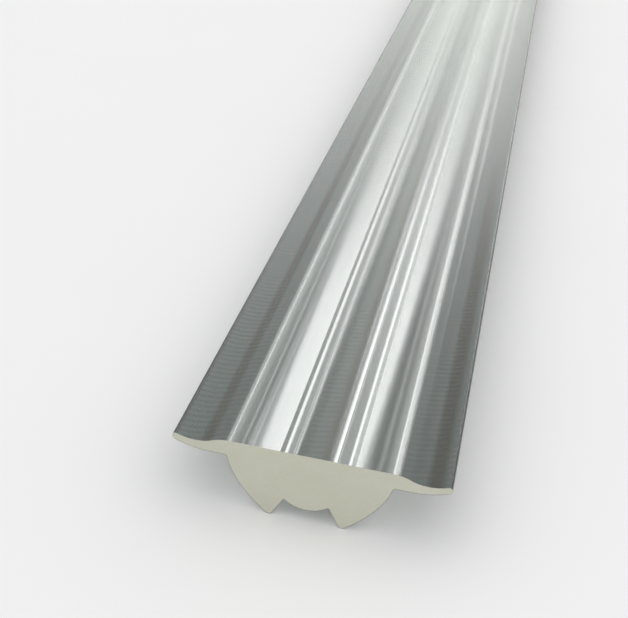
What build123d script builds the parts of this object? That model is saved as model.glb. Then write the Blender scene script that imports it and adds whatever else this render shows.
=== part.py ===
"""Clear linear lens: one solid length of extruded acrylic, sawn off square at both ends.

The section is a collimating lens with two mounting wings. Light enters from below, at a
convex entry lens that sits in a groove between two feet. Curved side walls turn the stray
light upwards by total internal reflection, and it leaves through the flat exit face.

The profile lies along Y and stands on its feet, with the origin on the floor under its middle.
"""

import os

from build123d import *

# Driving dimensions, in millimetres
length = 500.0  # sawn length of the bar

exit_face_width = 17.6  # flat light-exit face, between the shoulders of the wings
lens_height = 8.75  # from the feet up to the exit face

valley_reach = 3.6  # from the edge of the exit face out to the lowest line of a wing's top
valley_depth = 0.75  # of that line below the exit face
lip_reach = 2.6  # from the valley out to the wing's tip
lip_rise = 0.6  # of the tip's upper corner above the valley
lip_thickness = 0.85  # height of the wing's outer end

seat_drop = 1.9  # of the wings' flat undersides below the exit face
seat_width = 2.0  # of that flat, from the side wall outwards
wall_spread = 18.0  # across the side walls where they meet the wings
wall_bulge = 0.68  # of a side wall outside the straight line between its ends
wall_bulge_shift = 0.4  # of the fullest point of that bulge, from its middle towards the wing

groove_mouth = 7.5  # clear width between the feet, at the floor
foot_width = 0.5  # flat sole of a foot, before its corners are rounded
groove_root_width = 4.9  # across the groove's two inner corners
groove_root_height = 2.45  # of those corners above the floor
entry_lens_height = 1.5  # of the entry lens's lowest line above the floor

lip_corner_radius = 0.35
wall_corner_radius = 0.3  # between a side wall and the seat above it
foot_corner_radius = 0.15
groove_corner_radius = 0.12

# Corners of the right half of the section, as (across, up) from the middle of the floor
exit_edge = Vector(exit_face_width / 2, lens_height)
valley = exit_edge + Vector(valley_reach, -valley_depth)
lip_top = valley + Vector(lip_reach, lip_rise)
lip_bottom = lip_top - Vector(0, lip_thickness)
wall_top = Vector(wall_spread / 2, lens_height - seat_drop)
seat_end = wall_top + Vector(seat_width, 0)
foot_inner = Vector(groove_mouth / 2, 0)
foot_outer = foot_inner + Vector(foot_width, 0)
groove_corner = Vector(groove_root_width / 2, groove_root_height)

# A wing's shoulder and valley are two equal arcs, which meet halfway between their ends
shoulder_end = (exit_edge + valley) / 2

# A side wall is a parabola: from the middle of the straight line between its ends, its control point
# lies twice as far off as its fullest point
wall_upward = (wall_top - foot_outer).normalized()
wall_outward = Vector(wall_upward.Y, -wall_upward.X)
wall_middle = (wall_top + foot_outer) / 2
wall_control = wall_middle + (wall_outward * wall_bulge + wall_upward * wall_bulge_shift) * 2


def along_bar(*corners):
    """The lengthwise edges of the bar that run through these corners, on both sides."""
    lines = profile.edges().filter_by(Axis.Y)
    return [
        lines.sort_by_distance(Vector(side * corner.X, 0, corner.Y))[0]
        for corner in corners
        for side in (-1, 1)
    ]


with BuildPart() as profile:
    with BuildSketch(Plane.XZ.offset(-length / 2)):
        with BuildLine():
            shoulder = TangentArc(exit_edge, shoulder_end, tangent=(1, 0))
            TangentArc(shoulder_end, valley, tangent=shoulder % 1)
            TangentArc(valley, lip_top, tangent=(1, 0))
            Line(lip_top, lip_bottom)
            TangentArc(seat_end, lip_bottom, tangent=(1, 0))
            Line(seat_end, wall_top)
            Bezier(wall_top, wall_control, foot_outer)
            Line(foot_outer, foot_inner)
            Line(foot_inner, groove_corner)
            mirror(about=Plane.YZ)
            Line(exit_edge, (-exit_edge.X, exit_edge.Y))
            ThreePointArc(groove_corner, (0, entry_lens_height), (-groove_corner.X, groove_corner.Y))
        make_face()
    extrude(amount=length)
    fillet(along_bar(lip_top, lip_bottom), lip_corner_radius)
    fillet(along_bar(wall_top), wall_corner_radius)
    fillet(along_bar(foot_outer, foot_inner), foot_corner_radius)
    fillet(along_bar(groove_corner), groove_corner_radius)
profile.part.label = "lens_profile"

os.makedirs("parts", exist_ok=True)
export_step(profile.part, "parts/lens_profile.step")

size = profile.part.bounding_box().size
print("size", size, "section area", profile.part.volume / length)
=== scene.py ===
# %% [markdown]
# # A clear plastic lens profile
#
# The object is one length of extruded acrylic, a lens for a row of small lamps. It was squeezed through a
# die, so every slice of it is the same, and it was sawn off square at both ends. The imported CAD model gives
# its size and its place, and this script draws the same section again with far more points, because clear
# plastic shows every facet.

import math

import bpy
import numpy as np
from mathutils import Euler, Matrix, Vector


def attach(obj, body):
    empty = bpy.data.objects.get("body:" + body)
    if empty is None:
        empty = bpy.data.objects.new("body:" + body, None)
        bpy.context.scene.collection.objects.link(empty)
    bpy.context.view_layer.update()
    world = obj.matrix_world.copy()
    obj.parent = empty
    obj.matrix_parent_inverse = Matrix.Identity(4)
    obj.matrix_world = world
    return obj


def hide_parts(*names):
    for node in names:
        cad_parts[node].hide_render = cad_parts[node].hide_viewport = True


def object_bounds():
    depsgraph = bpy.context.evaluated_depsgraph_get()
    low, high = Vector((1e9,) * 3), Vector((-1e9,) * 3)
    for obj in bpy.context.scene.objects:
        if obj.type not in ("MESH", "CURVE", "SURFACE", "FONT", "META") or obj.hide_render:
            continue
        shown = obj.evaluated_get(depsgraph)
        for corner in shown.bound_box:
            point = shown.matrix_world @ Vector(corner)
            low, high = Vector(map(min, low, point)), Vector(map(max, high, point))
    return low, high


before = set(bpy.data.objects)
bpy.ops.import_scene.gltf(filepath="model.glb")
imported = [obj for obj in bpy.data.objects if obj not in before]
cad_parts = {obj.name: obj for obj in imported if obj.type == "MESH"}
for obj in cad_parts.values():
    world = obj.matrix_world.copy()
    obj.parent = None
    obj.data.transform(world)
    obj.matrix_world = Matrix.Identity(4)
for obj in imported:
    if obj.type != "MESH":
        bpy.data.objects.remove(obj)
cad_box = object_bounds()
near_end, far_end = cad_box[0].y, cad_box[1].y
print("the bar runs from", near_end, "to", far_end, "m")

# %% [markdown]
# ## Sums that become nodes
#
# A finish is mostly sums: a mask times a colour, one minus a ramp. Wiring them by hand hides the thought, so
# this small class holds one output of a node, and Python's own operators add the Math nodes. Every other
# kind of node comes from its one method, which sets the node's settings first and its sockets after that.


# %% One class for shader sums
class Signal:
    """One output of a shader node, for use in sums."""

    def __init__(self, tree, socket=None):
        self.tree, self.socket = tree, socket

    def node(self, kind, settings=None, sockets=None, out=0):
        """Adds a node of this kind and gives its output."""
        made = self.tree.nodes.new("ShaderNode" + kind)
        for name, value in (settings or {}).items():
            setattr(made, name, value)
        for name, value in (sockets or {}).items():
            if isinstance(value, Signal):
                self.tree.links.new(value.socket, made.inputs[name])
            else:
                made.inputs[name].default_value = value
        return Signal(self.tree, made.outputs[out] if made.outputs else None)

    def sum(self, operation, first, second=0.0):
        return self.node("Math", {"operation": operation}, {0: first, 1: second})

    def __add__(self, other):
        return self.sum("ADD", self, other)

    def __sub__(self, other):
        return self.sum("SUBTRACT", self, other)

    def __rsub__(self, other):
        return self.sum("SUBTRACT", other, self)

    def __mul__(self, other):
        return self.sum("MULTIPLY", self, other)

    def __abs__(self):
        return self.sum("ABSOLUTE", self)

    __radd__, __rmul__ = __add__, __mul__


def new_finish(name):
    """A material with an empty tree, and the tree as a Signal to build on."""
    material = bpy.data.materials.new(name)
    material.use_nodes = True
    material.node_tree.nodes.clear()
    return material, Signal(material.node_tree)


print("shader sums are ready")

# %% [markdown]
# Four small helpers turn up in the finishes. A fade rises smoothly from 0 to 1 between two values. A blend
# mixes two colours by a mask, through a Mix node, because a Math node would turn them grey. A stretch scales
# a place by a different amount on each axis, and grain is noise that is read at such a stretched place.


# %% Helpers for finishes
def fade(signal, start, end):
    settings = {"interpolation_type": "SMOOTHSTEP"}
    return signal.node("MapRange", settings, {"Value": signal, "From Min": start, "From Max": end})


def blend(mask, first, second):
    first_colour, second_colour, mixed_colour = 6, 7, 2
    sockets = {"Factor": mask, first_colour: first, second_colour: second}
    return mask.node("Mix", {"data_type": "RGBA"}, sockets, out=mixed_colour)


def stretch(place, scale):
    return place.node("VectorMath", {"operation": "MULTIPLY"}, {0: place, 1: scale})


def grain(place, scale, detail=2.0):
    sockets = {"Vector": stretch(place, scale), "Scale": 1.0, "Detail": detail}
    return place.node("TexNoise", sockets=sockets)


print("helpers are ready")

# %% [markdown]
# ## The section
#
# A die is drawn as a chain of lines and arcs, so the section is drawn that way here: a flat exit face, a
# wing with a shoulder, a valley and a lip, a seat under it, a curved side wall, a foot, and a groove whose
# roof is a lens. The sizes are those of the CAD model, in metres, as places to the right of the middle and
# above the floor. Blender's own curves could hold such an outline too, but a list of points is easier to
# round, to mirror and to sweep.

# %% Sizes of the section
MM = 0.001
exit_edge = np.array([8.8, 8.75]) * MM  # where the flat exit face ends
valley = exit_edge + np.array([3.6, -0.75]) * MM  # the lowest line of a wing's top
lip_top = valley + np.array([2.6, 0.6]) * MM
lip_bottom = lip_top - np.array([0.0, 0.85]) * MM
wall_top = exit_edge + np.array([0.2, -1.9]) * MM  # where a side wall meets the seat
seat_end = wall_top + np.array([2.0, 0.0]) * MM
foot_inner = np.array([3.75, 0.0]) * MM
foot_outer = foot_inner + np.array([0.5, 0.0]) * MM
groove_corner = np.array([2.45, 2.45]) * MM
entry_lens = np.array([0.0, 1.5]) * MM  # the lowest line of the lens in the groove's roof
shoulder_end = (exit_edge + valley) / 2
wall_bulge, wall_bulge_shift = 0.68 * MM, 0.4 * MM
lip_radius, wall_radius, foot_radius, groove_radius = 0.35 * MM, 0.3 * MM, 0.15 * MM, 0.12 * MM
print("half the width is", lip_top[0], "m, and the height is", exit_edge[1], "m")

# %% [markdown]
# Each run of the outline becomes a row of points. An arc is known by its two ends and the direction in which
# it leaves the first of them, as a draughtsman would strike it. The side wall is a parabola, whose fullest
# point stands out from the straight line between its ends by its bulge, a little nearer to the wing than to
# the foot.


# %% Lines, arcs and parabolas
def line(start, end, count=13):
    return start + (end - start) * np.linspace(0, 1, count)[:, None]


def arc(start, end, leaving, count=33):
    """An arc that leaves its start in the given direction."""
    leaving = np.array(leaving) / np.linalg.norm(leaving)
    side = np.array([-leaving[1], leaving[0]])
    chord = end - start
    radius = chord @ chord / (2 * chord @ side)
    centre = start + side * radius
    turn = 2 * math.atan2(chord @ side, chord @ leaving)
    angle = np.linspace(0, turn, count)[:, None]
    return centre - radius * (side * np.cos(angle) - leaving * np.sin(angle))


def parabola(start, end, bulge, shift, count=49):
    """A parabola whose fullest point is moved by the shift from the middle towards the start."""
    chord = end - start
    forward = chord / np.linalg.norm(chord)
    outward = np.array([-forward[1], forward[0]])
    along = np.linspace(0, 1, count)[:, None]
    return start + chord * along + (outward * bulge - forward * shift) * 4 * along * (1 - along)


print("a line, an arc and a parabola can be drawn")

# %% [markdown]
# The runs follow each other round the right half of the section: from the middle of the exit face out over
# the wing, back along the seat, down the side wall, and in under the foot to the middle of the groove. The
# shoulder and the valley are two equal arcs that meet halfway. There both of them lean by twice the angle of
# the straight line between their ends, as an arc that starts out level always does.

# %% Runs of the outline
level = (1, 0)
slope = valley - exit_edge
half_turn = math.atan2(slope[1], slope[0])
inflection = (math.cos(2 * half_turn), math.sin(2 * half_turn))
runs = [
    line(np.array([0.0, exit_edge[1]]), exit_edge),
    arc(exit_edge, shoulder_end, level),
    arc(shoulder_end, valley, inflection),
    arc(valley, lip_top, level),
    line(lip_top, lip_bottom),
    arc(seat_end, lip_bottom, level)[::-1],
    line(seat_end, wall_top),
    parabola(wall_top, foot_outer, wall_bulge, wall_bulge_shift),
    line(foot_outer, foot_inner),
    line(foot_inner, groove_corner),
    arc(entry_lens, groove_corner, level)[::-1],
]
print(len(runs), "runs, with", sum(len(run) for run in runs), "points")

# %% [markdown]
# No die makes a knife-sharp corner. To round one, picture a coin pushed into it until it touches both runs:
# its middle lies on the lines that run beside them at one radius, and where it touches, the runs stop and
# the coin's rim takes over. Blender's Bevel modifier does the same on a mesh, but it can't pass the many
# small steps of an arc.


# %% A coin in a corner
def beside(run, distance):
    """The same run, moved sideways to its left."""
    step = np.gradient(run, axis=0)
    step /= np.linalg.norm(step, axis=1)[:, None]
    return run + np.stack([-step[:, 1], step[:, 0]], 1) * distance


def refine(run, count=1500):
    place = np.concatenate([[0], np.cumsum(np.linalg.norm(np.diff(run, axis=0), axis=1))])
    fine = np.linspace(0, place[-1], count)
    return np.stack([np.interp(fine, place, run[:, axis]) for axis in (0, 1)], 1)


def round_corner(before, after, radius, count=9, spare=1.02):
    """Both runs, cut back to a little clear of the coin, and the coin's rim between them."""
    one, two = refine(before), refine(after)
    turn = np.cross(one[-1] - one[-2], two[1] - two[0])
    side = radius if turn > 0 else -radius
    far = np.linalg.norm(beside(one, side)[:, None] - beside(two, side)[None], axis=2)
    first, second = np.unravel_index(np.argmin(far), far.shape)
    centre = (beside(one, side)[first] + beside(two, side)[second]) / 2
    start, end = one[first] - centre, two[second] - centre
    sweep = math.atan2(np.cross(start, end), start @ end)
    angle = math.atan2(start[1], start[0]) + np.linspace(0, sweep, count)
    rim = centre + radius * np.stack([np.cos(angle), np.sin(angle)], 1)
    cut_before = np.linalg.norm(one[first] - before[-1]) * spare
    cut_after = np.linalg.norm(two[second] - after[0]) * spare
    kept = np.linalg.norm(before - before[-1], axis=1) > cut_before
    left = np.linalg.norm(after - after[0], axis=1) > cut_after
    return before[kept], rim, after[left]


print("corners can be rounded")

# %% [markdown]
# Where two runs already meet smoothly, the radius is 0. The other corners get their coin. The right half,
# without the points that lie on top of each other, is then mirrored to the left, and the two halves make one
# closed ring.

# %% The rounded section
corner_radii = [0, 0, 0, lip_radius, lip_radius, 0, wall_radius, foot_radius, foot_radius, groove_radius]
least_step = 0.001 * MM
outline = [runs[0]]
for run, radius in zip(runs[1:], corner_radii):
    if radius:
        outline += round_corner(outline.pop(), run, radius)
    else:
        outline.append(run)
half = np.concatenate(outline)
half = half[np.concatenate([[True], np.linalg.norm(np.diff(half, axis=0), axis=1) > least_step])]
section = np.concatenate([half, half[-2:0:-1] * [-1, 1]])
print("the section has", len(section), "points,", np.ptp(section, axis=0), "m across and high")

# %% [markdown]
# ## The bar
#
# Extruding means pulling one outline along a straight line. The skin is made of rings of faces between the
# outlines at its stations, from one end to the other. Each sawn end is a narrow rim, where the saw met the
# skin, around one flat face. Smooth shading rounds the skin, and the outline of each end is marked sharp, so
# that the flat cut stays flat. The value called rim is 1 on the outline and 0 inside it, and the finish of
# the sawn ends reads it later.


# %% Sweep a section along the bar
def inset(ring, distance):
    """The closed ring, moved inwards by the distance."""
    step = np.roll(ring, -1, axis=0) - np.roll(ring, 1, axis=0)
    step /= np.linalg.norm(step, axis=1)[:, None]
    return ring + np.stack([step[:, 1], -step[:, 0]], 1) * distance


def band(first, second, count):
    """The faces between two rings of points, given the number of the first point of each."""
    nexts = [(i + 1) % count for i in range(count)]
    return [(first + i, first + j, second + j, second + i) for i, j in zip(range(count), nexts)]


def sweep_bar(name, ring, stations, rim_width):
    count, rows = len(ring), len(stations)
    last, near, far = (rows - 1) * count, rows * count, (rows + 1) * count
    points = [(x, y, z) for y in stations for x, z in ring]
    points += [(x, y, z) for y in (stations[0], stations[-1]) for x, z in inset(ring, rim_width)]
    skin_faces = [face for row in range(rows - 1) for face in band(row * count, (row + 1) * count, count)]
    end_faces = band(near, 0, count) + band(last, far, count)
    end_faces += [tuple(range(near, near + count))[::-1], tuple(range(far, far + count))]
    mesh = bpy.data.meshes.new(name)
    mesh.from_pydata(points, [], skin_faces + end_faces)
    is_end = [False] * len(skin_faces) + [True] * len(end_faces)
    mesh.polygons.foreach_set("use_smooth", [not end for end in is_end])
    mesh.polygons.foreach_set("material_index", [int(end) for end in is_end])
    for edge in mesh.edges:
        a, b = sorted(edge.vertices)
        edge.use_edge_sharp = b < count or last <= a and b < near
    rim = mesh.attributes.new("rim", "FLOAT", "POINT")
    rim.data.foreach_set("value", [1.0] * near + [0.0] * (2 * count))
    mesh.update()
    bar = bpy.data.objects.new(name, mesh)
    bpy.context.scene.collection.objects.link(bar)
    return bar


print("a section can be swept")

# %% [markdown]
# The bar is swept in twenty lengths, so that no face is half a metre long. It replaces the plain node of the
# CAD model, which is hidden, and rides on the one body that there is. Its finishes are made below.

# %% The bar itself
stations = np.linspace(near_end, far_end, 21)
rim_width = 0.1 * MM
bar = sweep_bar("lens_bar", section, stations, rim_width)
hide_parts("lens_profile")
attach(bar, "root")
top = max(bar.data.polygons, key=lambda face: face.normal.z)
print("the bar has", len(bar.data.polygons), "faces, and its top looks along", tuple(top.normal))

# %% [markdown]
# ## Clear acrylic: painted shade underneath
#
# Most of what the eye takes for the bar's colour is the room, bent by the lens into light and dark stripes.
# Light that turns round inside comes out bright, and light that comes up through the underside from the
# shaded floor comes out grey. So the top stays clear, and the grey on the faces that look down is painted
# shade, a tint that stands in for that shaded floor. An absorbing volume would tint by thickness instead,
# and would leave the thin wings the palest part. The first masks are for the undersides of the wings and
# for the ends of the lips, found by how far a place reaches from the middle and how high it lies.

# %% Masks of the wings
skin, build = new_finish("clear_acrylic")
place = build.node("TexCoord", out="Object")
across, along, height = (build.node("SeparateXYZ", sockets={"Vector": place}, out=axis) for axis in "XYZ")
reach = abs(across)
wing_start, wing_end = wall_top[0], lip_top[0]
below_wing_tops = 1 - fade(height, valley[1] - 0.3 * MM, valley[1] - 0.05 * MM)
under_wings = fade(reach, wing_start, wing_start + 0.4 * MM) * below_wing_tops
lip_ends = fade(reach, wing_end - lip_radius, wing_end - 0.2 * MM)
print("the wings reach from", wing_start, "to", wing_end, "m off the middle")

# %% [markdown]
# The groove and the feet look greyer than clear plastic would. That grey is painted shade, a tint that
# stands in for the dark, shaded floor under the bar as the lens shows it. The roof of the groove has the full
# tint, and its walls grow clearer towards the floor. The lowest part of the side walls has some of it, more
# on the right than on the left, and of the two soles only the left one has it. Each of these masks darkens
# one stripe on top of the bar, because the lens shows every narrow face of the underside as a stripe of its
# own.

# %% Masks of the groove and the feet
between_feet = 1 - fade(reach, foot_outer[0] - 0.05 * MM, foot_outer[0] + 0.15 * MM)
above_soles = fade(height, 0.03 * MM, foot_radius)
below_roof = 1 - fade(height, groove_corner[1] + 0.15 * MM, groove_corner[1] + 0.55 * MM)
near_floor = 1 - fade(height, 1.0 * MM, 1.6 * MM)
groove_walls = fade(reach, groove_corner[0] - 0.15 * MM, groove_corner[0] + 0.15 * MM)
clearer = groove_walls * (0.3 + 0.6 * near_floor)
# where the painted shade of the groove goes
groove_shade = between_feet * above_soles * below_roof * (1 - clearer)
right_side = fade(across, -MM, MM)
low_walls = fade(reach, foot_inner[0], foot_outer[0]) * above_soles * near_floor
left_sole = (1 - above_soles) * (1 - right_side)
# where the painted shade of the feet goes
feet_shade = low_walls * (0.4 + 0.4 * right_side) + left_sole * 0.8
print("the masks need", len(skin.node_tree.nodes), "nodes so far")

# %% [markdown]
# A soft bar can shiver as it is drawn from the die, and that leaves a faint ripple across it, here about
# once every millimetre. It comes and goes along the bar. A sine of the place along the bar makes the ripple,
# a slow noise pushes its lines out of true, and a second noise makes it patchy. It is too shallow to model,
# so it shows as a slight change of tint and of height.

# %% Draw ripple
ripple_pitch, ripple_slant = 0.95 * MM, 0.35
wander = grain(place, (160, 40, 160))
patches = fade(grain(place, (150, 40, 150)), 0.1, 0.5)
askew = along - ripple_slant * across
phase = askew * (2 * math.pi / ripple_pitch) + wander * 2.5
wave = build.node("Math", {"operation": "SINE"}, {0: phase})
ripple = (wave * 0.5 + 0.5) * patches
print("ripple lines along the bar:", round((far_end - near_end) / ripple_pitch))

# %% [markdown]
# Each wing and the groove get a brownish line of painted shade along the bar, and the right wall of the
# groove a thin grey one: darker stripes that stand in for the dark floor seen through the lens. A line is
# known by its place across the bar, by the half-width of its full tint and by the half-width at which it has
# faded out.


# %% Lines of painted shade
def shade_line(middle, core, edge):
    """A soft line of painted shade along the bar, given its middle and its two half-widths, in millimetres.
    """
    return 1 - fade(abs(across - middle * MM), core * MM, edge * MM)


left_line = shade_line(-11.2, 0.2, 1.0)
middle_line = shade_line(1.0, 0.3, 1.0)
groove_line = shade_line(2.94, 0.05, 0.2) * below_roof
right_line = shade_line(13.2, 0.3, 1.3)
# the two lines of painted shade on the wings, under their tops only
wing_shade_lines = (left_line + right_line) * under_wings * (0.95 - 0.35 * ripple)
print("four lines run along the bar")

# %% [markdown]
# The tints are laid one over the other, as a painter would. Clear plastic comes first, a little greener
# further along the bar. Then comes the painted shade: the grey of the feet and of the groove, the grey of
# the wings, the dark lines, and the ends of the lips, which are darkest. Both greys have the ripple in them.
# The shader takes the square root of the tint at each crossing, so the tints are written darker than they
# look in the picture.


# %% Tint of the skin
def further(start, end):
    """Rises from 0 to 1 between two distances from the near end, in millimetres."""
    return fade(along, near_end + start * MM, near_end + end * MM)


# dark colours of painted shade: the lines along the wings and the groove, and the ends of the lips
groove_line_shade, groove_wall_line_shade = (0.185, 0.18, 0.125, 1), (0.07, 0.08, 0.075, 1)
wing_line_shade, lip_end_shade = (0.005, 0.003, 0.0002, 1), (0.004, 0.004, 0.004, 1)
clear = blend(further(60, 200), (0.93, 0.96, 0.94, 1), (0.88, 0.94, 0.85, 1))
# painted shade under the wings: a dark grey that stands in for the shaded floor seen through them
wing_underside_shade = blend(ripple, (0.006, 0.013, 0.010, 1), (0.018, 0.032, 0.026, 1))
# painted shade in the groove and on the feet: a grey for the shaded floor seen through them
groove_shade_tint = blend(ripple, (0.155, 0.19, 0.178, 1), (0.205, 0.245, 0.23, 1))
groove_shade_tint = blend(middle_line * 0.7, groove_shade_tint, groove_line_shade)
tint = blend(feet_shade, clear, groove_shade_tint)
tint = blend(groove_shade, tint, groove_shade_tint)
tint = blend(groove_line, tint, groove_wall_line_shade)
tint = blend(under_wings, tint, wing_underside_shade)
tint = blend(wing_shade_lines, tint, wing_line_shade)
# painted shade: the ends of the lips made darkest
tint = blend(lip_ends, tint, lip_end_shade)
print("the skin has", len(skin.node_tree.nodes), "nodes with its tint")

# %% [markdown]
# A die also leaves fine lines lengthwise, from the tiny scratches in its lips. They are noise that is
# squeezed across the bar and drawn out along it. They scatter the light a little more than the polished skin
# between them, so they drive the roughness and a very low bump. A soft haze comes on top. The skin also
# turns duller further along the bar, which softens the stripes there, as they are in the photograph.

# %% Die lines and haze
die_lines = grain(place, (2600, 1.5, 2600), detail=4.0)
haze = grain(place, (90, 30, 90), detail=4.0)
roughness = 0.05 + 0.07 * die_lines + 0.04 * haze + 0.11 * further(10, 150)
relief = die_lines * 0.8 + ripple * 0.15
bump = build.node("Bump", sockets={"Strength": 0.25, "Distance": 0.01 * MM, "Height": relief})
print("the skin has", len(skin.node_tree.nodes), "nodes with its roughness and its bump")

# %% [markdown]
# One transparent shader makes the clear plastic. The lines of painted shade on the wings must be dark on top
# as well, and a tint can't do that, because a clear surface reflects the room whatever its tint is. So a
# little of a dark matt shader is mixed in along them as painted shade, less where the ripple is bright, and
# none further along the bar.

# %% The finished skin
acrylic_ior = 1.49
clear_plastic = build.node(
    "BsdfPrincipled",
    sockets={
        "Base Color": tint,
        "Roughness": roughness,
        "IOR": acrylic_ior,
        "Transmission Weight": 1.0,
        "Normal": bump,
    },
)
# a dark matt shader, mixed in as painted shade on top of the wing lines
matt_shade = build.node("BsdfDiffuse", sockets={"Color": (0.06, 0.055, 0.035, 1)})
nearby = 1 - further(20, 100)
wing_line_shade_on_top = (left_line * 0.12 + right_line * 0.32) * (1 - 0.5 * ripple) * nearby
shader = build.node("MixShader", sockets={0: wing_line_shade_on_top, 1: clear_plastic, 2: matt_shade})
build.node("OutputMaterial", sockets={"Surface": shader})
bar.data.materials.append(skin)
print("finished", skin.name, "with", len(skin.node_tree.nodes), "nodes")

# %% [markdown]
# ## Sawn ends
#
# A saw leaves clear plastic matt and pale, like frosted glass, because countless small scratches scatter the
# light. The blade is a large disc, so its marks are arcs of a big circle, here rings around a point far
# outside the section. A little noise breaks them up, and a much finer one gives the speckle of the scratches.

# %% Saw marks
sawn, build = new_finish("sawn_acrylic")
place = build.node("TexCoord", out="Object")
blade_centre, saw_pitch = (-70 * MM, 0, 90 * MM), 0.42 * MM
from_centre = build.node("VectorMath", {"operation": "SUBTRACT"}, {0: place, 1: blade_centre})
in_the_cut = stretch(from_centre, (1, 0, 1))
radius = build.node("VectorMath", {"operation": "LENGTH"}, {0: in_the_cut}, out="Value")
wobble = grain(place, (400, 400, 400))
phase = radius * (2 * math.pi / saw_pitch) + wobble * 7.0
marks = build.node("Math", {"operation": "SINE"}, {0: phase})
cloud = grain(place, (220, 220, 220), detail=3.0)
speckle = grain(place, (6000, 6000, 6000))
bump = build.node("Bump", sockets={"Strength": 0.4, "Distance": 0.02 * MM, "Height": marks * 0.5 + speckle})
print("saw marks across the section:", round((lip_top[0] * 2) / saw_pitch))

# %% [markdown]
# Along its edge, where the clear skin takes over from the matt face, the cut gets a dark rim of painted
# shade, for the dark surroundings that the skin shows there, and that is what the rim value is for. It fades
# out towards the top, where the edge is bright. A pale diffuse finish does this more quietly than rough glass
# would, which is slow to render and stays noisy.

# %% Sawn finish
height = build.node("SeparateXYZ", sockets={"Vector": place}, out="Z")
below_top = 1 - fade(height, valley[1] - 0.6 * MM, valley[1] - 0.1 * MM)
rim = fade(build.node("Attribute", {"attribute_name": "rim"}, out="Fac"), 0.15, 0.9) * below_top
scratches = fade(speckle + marks * 0.05, 0.5, 0.8)
tint = blend(cloud, (0.525, 0.525, 0.425, 1), (0.60, 0.60, 0.50, 1))
tint = blend(scratches * 0.5, tint, (0.66, 0.66, 0.575, 1))
# painted shade: a dark rim along the edge of the cut, fading out towards the top
tint = blend(rim * 0.9, tint, (0.10, 0.105, 0.095, 1))
shader = build.node(
    "BsdfPrincipled",
    sockets={"Base Color": tint, "Roughness": 0.45 + 0.2 * speckle, "IOR": acrylic_ior, "Normal": bump},
)
build.node("OutputMaterial", sockets={"Surface": shader})
bar.data.materials.append(sawn)
print("finished", sawn.name, "with", len(sawn.node_tree.nodes), "nodes")

# %% [markdown]
# ## Floor
#
# The bar lies on its two feet on a plain pale floor. It is one large face, so large that its edge never
# shows, with a paint that is a little uneven. It lies a hair below the feet: if the soles and the floor
# shared one plane, a ray could not tell which of them it meets first, and false dark lines would run along
# the bar.

# %% Floor
floor_reach, floor_height = 12.0, -0.02 * MM
signs = ((-1, -1), (1, -1), (1, 1), (-1, 1))
corners = [(x * floor_reach, y * floor_reach, floor_height) for x, y in signs]
floor_mesh = bpy.data.meshes.new("floor")
floor_mesh.from_pydata(corners, [], [(0, 1, 2, 3)])
floor = bpy.data.objects.new("floor", floor_mesh)
bpy.context.scene.collection.objects.link(floor)
paint, build = new_finish("pale_floor")
uneven = grain(build.node("TexCoord", out="Object"), (30, 30, 30))
shade = blend(uneven, (0.90, 0.90, 0.90, 1), (0.92, 0.92, 0.92, 1))
shader = build.node("BsdfPrincipled", sockets={"Base Color": shade, "Roughness": 0.8})
build.node("OutputMaterial", sockets={"Surface": shader})
floor_mesh.materials.append(paint)
print("the floor is", 2 * floor_reach, "m wide")

# %% [markdown]
# ## Light
#
# Clear things are lit from behind: a bright backdrop at the far end of the bar fills the stripes that the
# lens makes. It is brightest straight behind the bar, dimmer low down at both sides, and a little dimmer on
# the left, so that the two halves of the bar differ. A softer light overhead shows the sawn end. It falls
# off towards the sides, but right at the horizon it is nearly as pale as the floor, so that no dark band
# shows behind the bar in a low view. Lamps could do this, but their edges would show in the flat exit face.
# A world whose strength depends only on the direction has no edges. Its tilt is the angle from straight up
# towards the right, and away is 1 at the far end.


# %% Studio light
def turn_fade(angle, start, end):
    """A fade between two angles in degrees."""
    return fade(angle, math.radians(start), math.radians(end))


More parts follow.
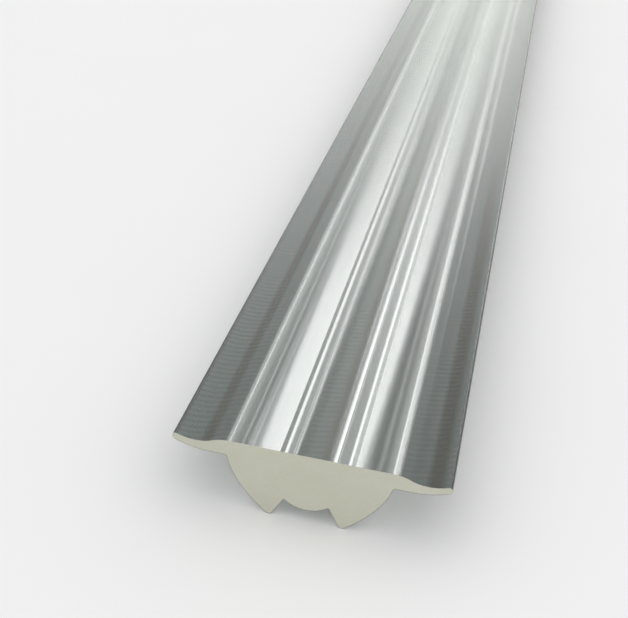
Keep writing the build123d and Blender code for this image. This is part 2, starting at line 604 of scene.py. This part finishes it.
world = bpy.data.worlds.new("studio")
bpy.context.scene.world = world
world.use_nodes = True
world.node_tree.nodes.clear()
build = Signal(world.node_tree)
direction = build.node("TexCoord", out="Generated")
aside, away, up = (build.node("SeparateXYZ", sockets={"Vector": direction}, out=axis) for axis in "XYZ")
tilt = build.node("Math", {"operation": "ARCTAN2"}, {0: aside, 1: up})
to_left = turn_fade(0 - tilt, 20, 45)
sideways = turn_fade(abs(tilt), 45, 70)
low_down = turn_fade(abs(tilt), 72, 88)
behind = fade(away, math.cos(math.radians(52)), math.cos(math.radians(36)))
straight_behind = fade(away, 0.80, 0.98)
above_horizon = fade(up, 0.02, 0.15)
overhead = 1.01 - sideways * (0.15 + 0.27 * above_horizon)
backdrop = (1.2 + 0.4 * straight_behind) * (1 - 0.6 * low_down) * (1 - 0.26 * to_left)
strength = overhead * (1 - behind) + backdrop * behind
glow = build.node("Background", sockets={"Color": (1.0, 1.0, 1.0, 1), "Strength": strength})
build.node("OutputWorld", sockets={"Surface": glow})
print("the world has", len(world.node_tree.nodes), "nodes")

# %% [markdown]
# ## Camera
#
# The camera was fitted to the outline of the sawn end and the two long edges. It has three angles: how far
# it is raised from looking straight down, how far it is rolled, and how far it is turned about the upright.

# %% Camera
picture_width, focal_pixels = 628, 1089.6
camera = bpy.data.cameras.new("camera")
camera.sensor_width = 36.0
camera.lens = focal_pixels / picture_width * camera.sensor_width
camera.clip_start = 0.005
eye = bpy.data.objects.new("camera", camera)
eye_place = Vector((14.09 * MM, near_end - 87.40 * MM, 80.51 * MM))
raised, rolled, turned = math.radians(58.608), math.radians(-4.424), math.radians(12.514)
eye.matrix_world = Matrix.LocRotScale(eye_place, Euler((raised, rolled, turned)), None)
bpy.context.scene.collection.objects.link(eye)
bpy.context.scene.camera = eye
print("the camera stands at", tuple(eye_place))

# %% [markdown]
# ## Finish
#
# Light crosses the bar many times before it leaves, so the paths may be long. Some of it is bent through the
# bar onto the floor and comes back up, and that light needs refractive caustics. Without them the floor
# under the bar would come out too dark. Reflective caustics stay off, because they add more noise than light
# here.

# %% Settings
scene = bpy.context.scene
scene.view_settings.view_transform = "Standard"
scene.cycles.max_bounces = 32
scene.cycles.glossy_bounces = 24
scene.cycles.transmission_bounces = 24
scene.cycles.caustics_refractive = True
scene.cycles.caustics_reflective = False
